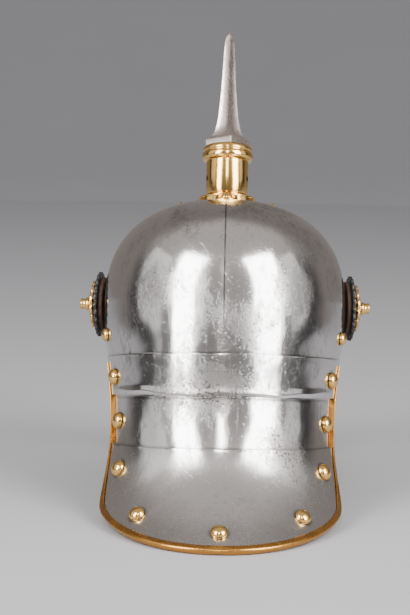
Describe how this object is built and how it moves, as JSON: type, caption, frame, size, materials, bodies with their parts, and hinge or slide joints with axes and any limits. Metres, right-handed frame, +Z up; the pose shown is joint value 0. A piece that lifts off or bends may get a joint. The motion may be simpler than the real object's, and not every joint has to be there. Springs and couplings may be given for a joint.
{
  "type": "spiked helmet",
  "caption": "Polished steel helmet with a square spike on a brass neck, a riveted neck guard of lapped plates, a visor and side cockades, worn to protect the head and neck.",
  "frame": {"origin": "middle of the footprint, on the surface that the helmet stands on", "axes": "+Z up, +Y to the front (the visor), +X to the wearer's right; the helmet stands pitched forward on its visor and tail, so the spike leans 17 degrees towards +Y"},
  "size_m": [0.224, 0.3304, 0.3487],
  "materials": {
    "polished_steel": "polished, worn, with pitting and fine scratches",
    "gilt_brass": "polished, lightly tarnished",
    "pale_silver": "satin silver-coloured metal, worn",
    "black_paint": "black lacquer, worn satin",
    "brown_leather": "dark worn leather"
  },
  "bodies": {
    "root": {"skull": "polished_steel", "neck_plate_upper": "polished_steel", "neck_plate_middle": "polished_steel", "neck_plate_lower": "polished_steel", "visor": "polished_steel", "neck_edging": "gilt_brass", "visor_edging": "gilt_brass", "rivet_upper_left": "gilt_brass", "rivet_upper_right": "gilt_brass", "rivet_middle_left": "gilt_brass", "rivet_middle_right": "gilt_brass", "rivet_lower_left": "gilt_brass", "rivet_lower_right": "gilt_brass", "rivet_corner_left": "gilt_brass", "rivet_corner_right": "gilt_brass", "rivet_skull_left": "gilt_brass", "rivet_skull_right": "gilt_brass", "rivet_tail": "gilt_brass", "visor_rivet_left": "gilt_brass", "visor_rivet_middle": "gilt_brass", "visor_rivet_right": "gilt_brass", "spike_base": "gilt_brass", "base_stud_rear": "gilt_brass", "base_stud_right": "gilt_brass", "base_stud_front": "gilt_brass", "base_stud_left": "gilt_brass", "spike_neck": "gilt_brass", "spike": "pale_silver", "cockade_washer_left": "brown_leather", "cockade_left": "black_paint", "rosette_left": "gilt_brass", "boss_left": "gilt_brass", "cockade_washer_right": "brown_leather", "cockade_right": "black_paint", "rosette_right": "gilt_brass", "boss_right": "gilt_brass"}
  },
  "joints": []
}
